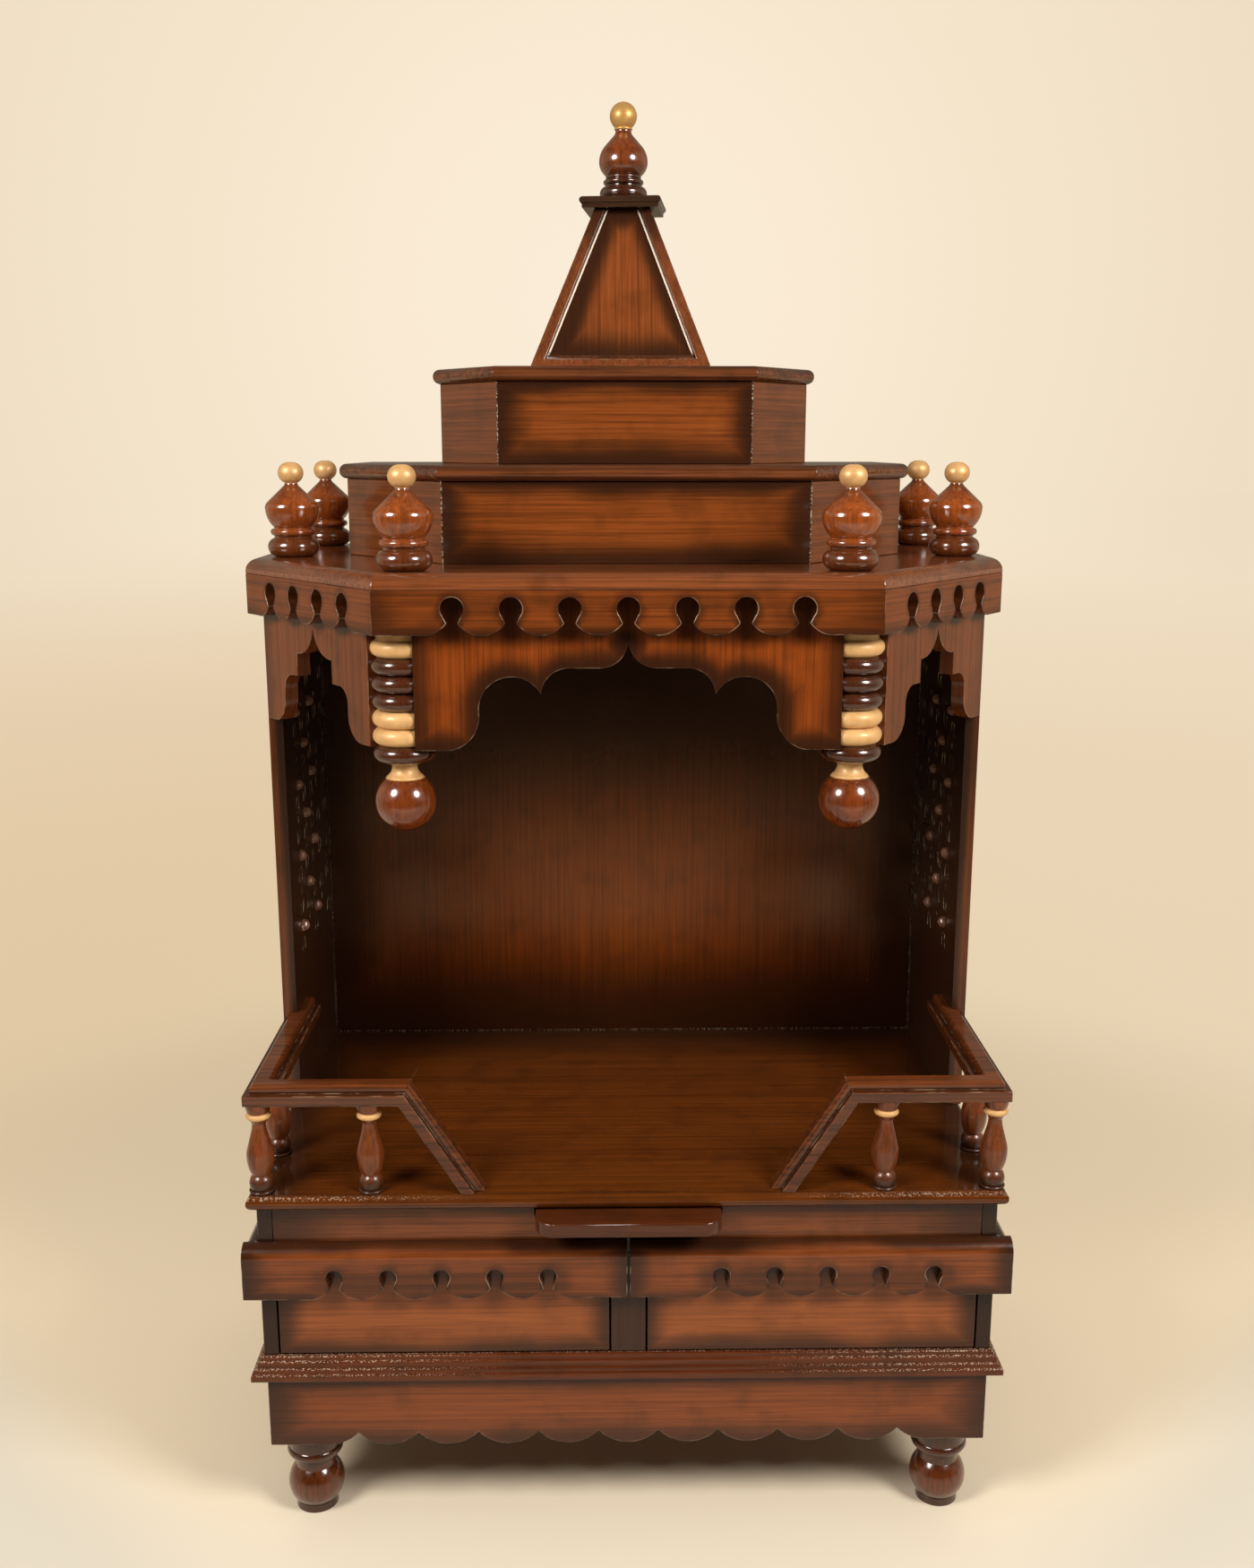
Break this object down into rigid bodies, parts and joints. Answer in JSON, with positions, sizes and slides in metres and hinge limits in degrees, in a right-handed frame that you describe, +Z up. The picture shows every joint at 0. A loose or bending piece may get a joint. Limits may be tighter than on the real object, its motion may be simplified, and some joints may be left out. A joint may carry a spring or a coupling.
{
  "type": "pooja mandir",
  "caption": "Carved wooden pooja mandir: open shrine under a canopy of cusped arches and pendants, stepped top with spire, and a base with two drawers and a pull-out tray.",
  "frame": {"origin": "middle of the mandir's outline in plan, on the floor under its feet", "axes": "+X to the right seen from in front, -Y towards the front, +Z up"},
  "size_m": [0.62, 0.384, 1.1483],
  "materials": {
    "panel_wood": "gloss lacquer",
    "bright_wood": "gloss lacquer",
    "turned_wood": "gloss lacquer",
    "plain_wood": "satin lacquer"
  },
  "bodies": {
    "mandir": {"feet_front": "turned_wood", "feet_back": "turned_wood", "skirt_front": "bright_wood", "skirt_sides": "bright_wood", "skirt_back": "plain_wood", "base_board": "panel_wood", "cabinet_left": "panel_wood", "cabinet_right": "panel_wood", "cabinet_back": "plain_wood", "centre_divider": "panel_wood", "dust_board": "plain_wood", "frieze": "panel_wood", "side_fascias": "panel_wood", "shelf_board": "panel_wood", "side_panel_left": "panel_wood", "side_panel_right": "panel_wood", "back_panel": "panel_wood", "rail_left": "panel_wood", "rail_right": "panel_wood", "balusters_left": "turned_wood", "balusters_right": "turned_wood", "arch_front": "panel_wood", "arch_left": "panel_wood", "arch_right": "panel_wood", "pendant_left": "turned_wood", "pendant_right": "turned_wood", "canopy_fascia_front": "panel_wood", "canopy_fascia_slants": "panel_wood", "canopy_fascia_sides": "panel_wood", "canopy_board": "panel_wood", "lower_tier_walls": "bright_wood", "lower_tier_top": "panel_wood", "upper_tier_walls": "bright_wood", "upper_tier_top": "panel_wood", "spire_panels": "bright_wood", "spire_frame": "turned_wood", "cap_plate": "turned_wood", "top_finial": "turned_wood", "finials_front": "turned_wood", "finials_middle": "turned_wood", "finials_back": "turned_wood"},
    "drawer_left": {"drawer_left_front": "bright_wood", "drawer_left_fascia": "bright_wood", "drawer_left_box": "plain_wood"},
    "drawer_right": {"drawer_right_front": "bright_wood", "drawer_right_fascia": "bright_wood", "drawer_right_box": "plain_wood"},
    "pull_out_tray": {"tray": "panel_wood"}
  },
  "joints": [
    {"name": "drawer_left_slide", "type": "slide", "parent": "mandir", "child": "drawer_left", "axis": [0, -1, 0], "range_m": [0, 0.24]},
    {"name": "drawer_right_slide", "type": "slide", "parent": "mandir", "child": "drawer_right", "axis": [0, -1, 0], "range_m": [0, 0.24]},
    {"name": "tray_slide", "type": "slide", "parent": "mandir", "child": "pull_out_tray", "axis": [0, -1, 0], "range_m": [0, 0.16]}
  ]
}
